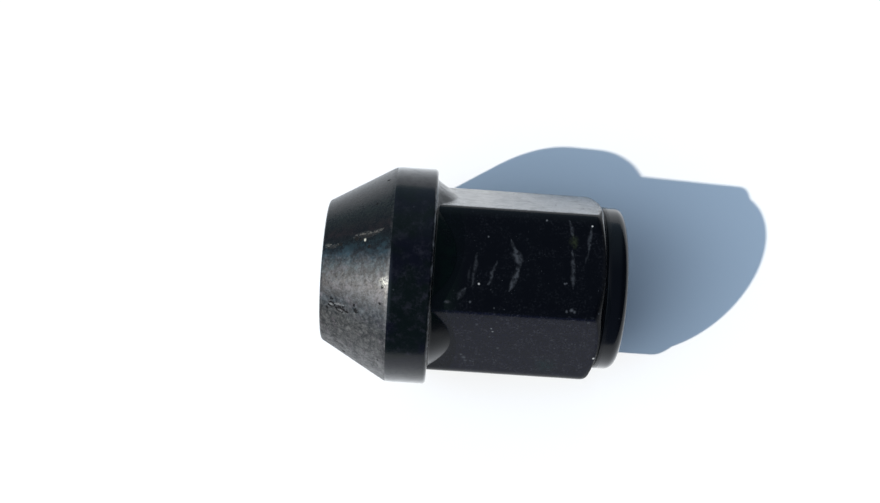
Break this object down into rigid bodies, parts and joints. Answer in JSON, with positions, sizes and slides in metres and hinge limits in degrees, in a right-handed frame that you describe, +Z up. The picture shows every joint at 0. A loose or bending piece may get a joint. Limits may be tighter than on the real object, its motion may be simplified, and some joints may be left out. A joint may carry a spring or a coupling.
{
  "type": "lug nut",
  "caption": "Black closed-end lug nut with a conical seat, a round collar, a wrench hex and a blind thread, lying on its side; it clamps a wheel onto its stud.",
  "frame": {"origin": "bottom centre of the lying nut's box", "axes": "+Z up, +X from the mouth towards the closed end, which dips by the nut's lean of about 8.2 degrees"},
  "size_m": [0.035, 0.0244, 0.0247],
  "materials": {
    "black_finish": "satin black plating on forged steel, burnished grey on the seat and worn along the edges"
  },
  "bodies": {
    "root": {"lug_nut": "black_finish"}
  },
  "joints": []
}
